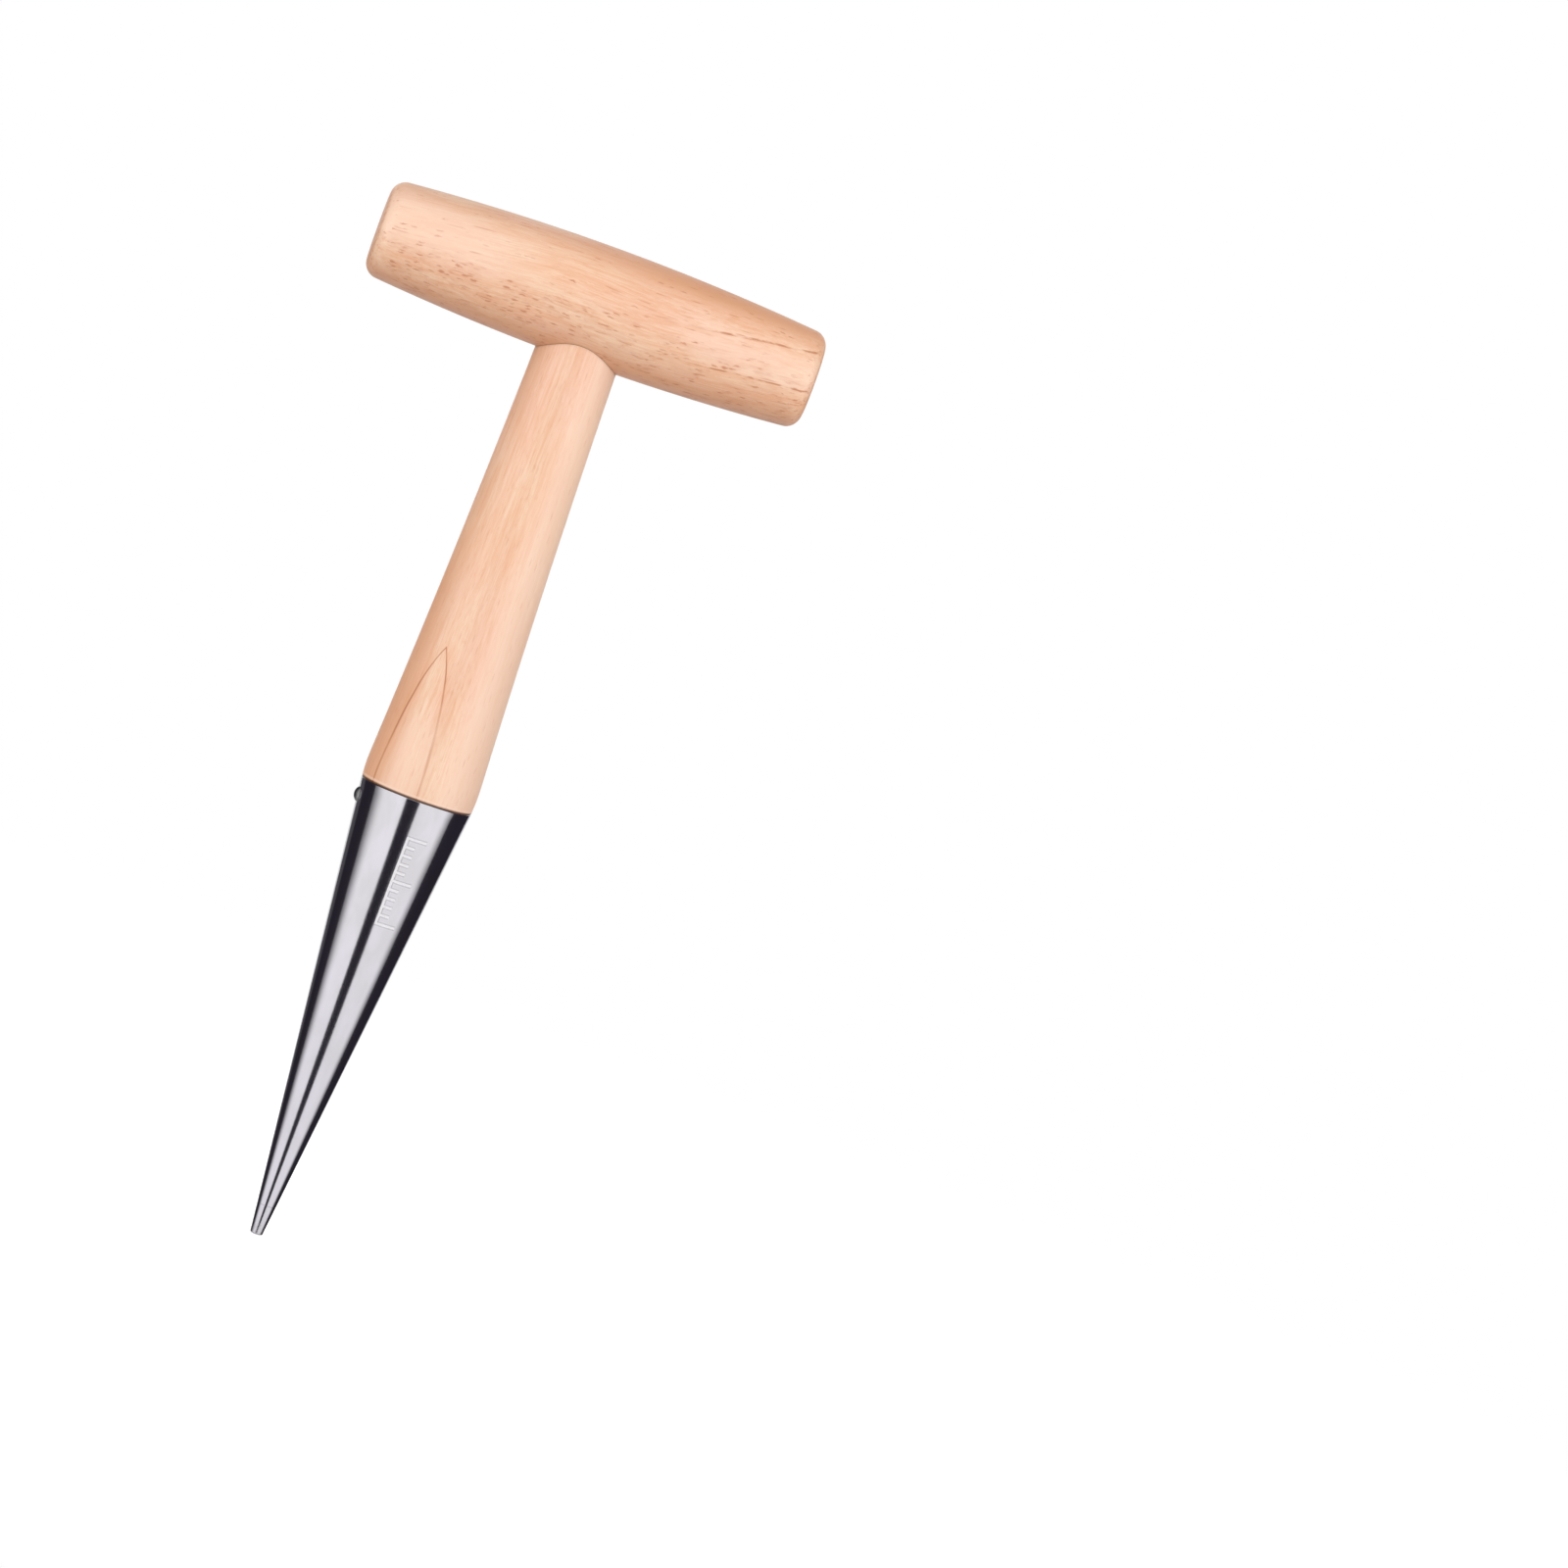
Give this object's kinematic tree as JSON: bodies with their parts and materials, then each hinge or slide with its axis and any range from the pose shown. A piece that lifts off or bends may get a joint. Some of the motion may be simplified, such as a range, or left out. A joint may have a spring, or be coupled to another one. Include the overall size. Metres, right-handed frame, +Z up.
{
  "type": "garden dibber",
  "caption": "T-handled garden dibber: turned wooden crossbar and flared shaft on a hollow pointed steel cone, for pressing planting holes for bulbs and seedlings.",
  "frame": {"origin": "centre of the blunt end of the steel point, which is also the bottom centre of the whole tool's box", "axes": "+Z up the shaft from the point to the crossbar, +X along the crossbar, +Y across it; the pin's head faces -X, turned 10 degrees towards -Y"},
  "size_m": [0.1224, 0.0318, 0.28],
  "materials": {
    "crossbar_wood": "pale, straight-grained hardwood, sanded and clear satin lacquered",
    "shaft_wood": "pale hardwood with a flame grain near its foot, sanded and clear satin lacquered",
    "glue": "cured wood glue",
    "cone_steel": "rolled stainless sheet polished bright, with faint lengthwise and hoop polishing lines",
    "tip_steel": "turned stainless point, polished with the cone",
    "pin_steel": "bright stainless pin with a domed head"
  },
  "bodies": {
    "root": {"crossbar": "crossbar_wood", "crossbar_glue": "glue", "shaft": "shaft_wood", "cone": "cone_steel", "cone_tip": "tip_steel", "cone_pin": "pin_steel"}
  },
  "joints": []
}
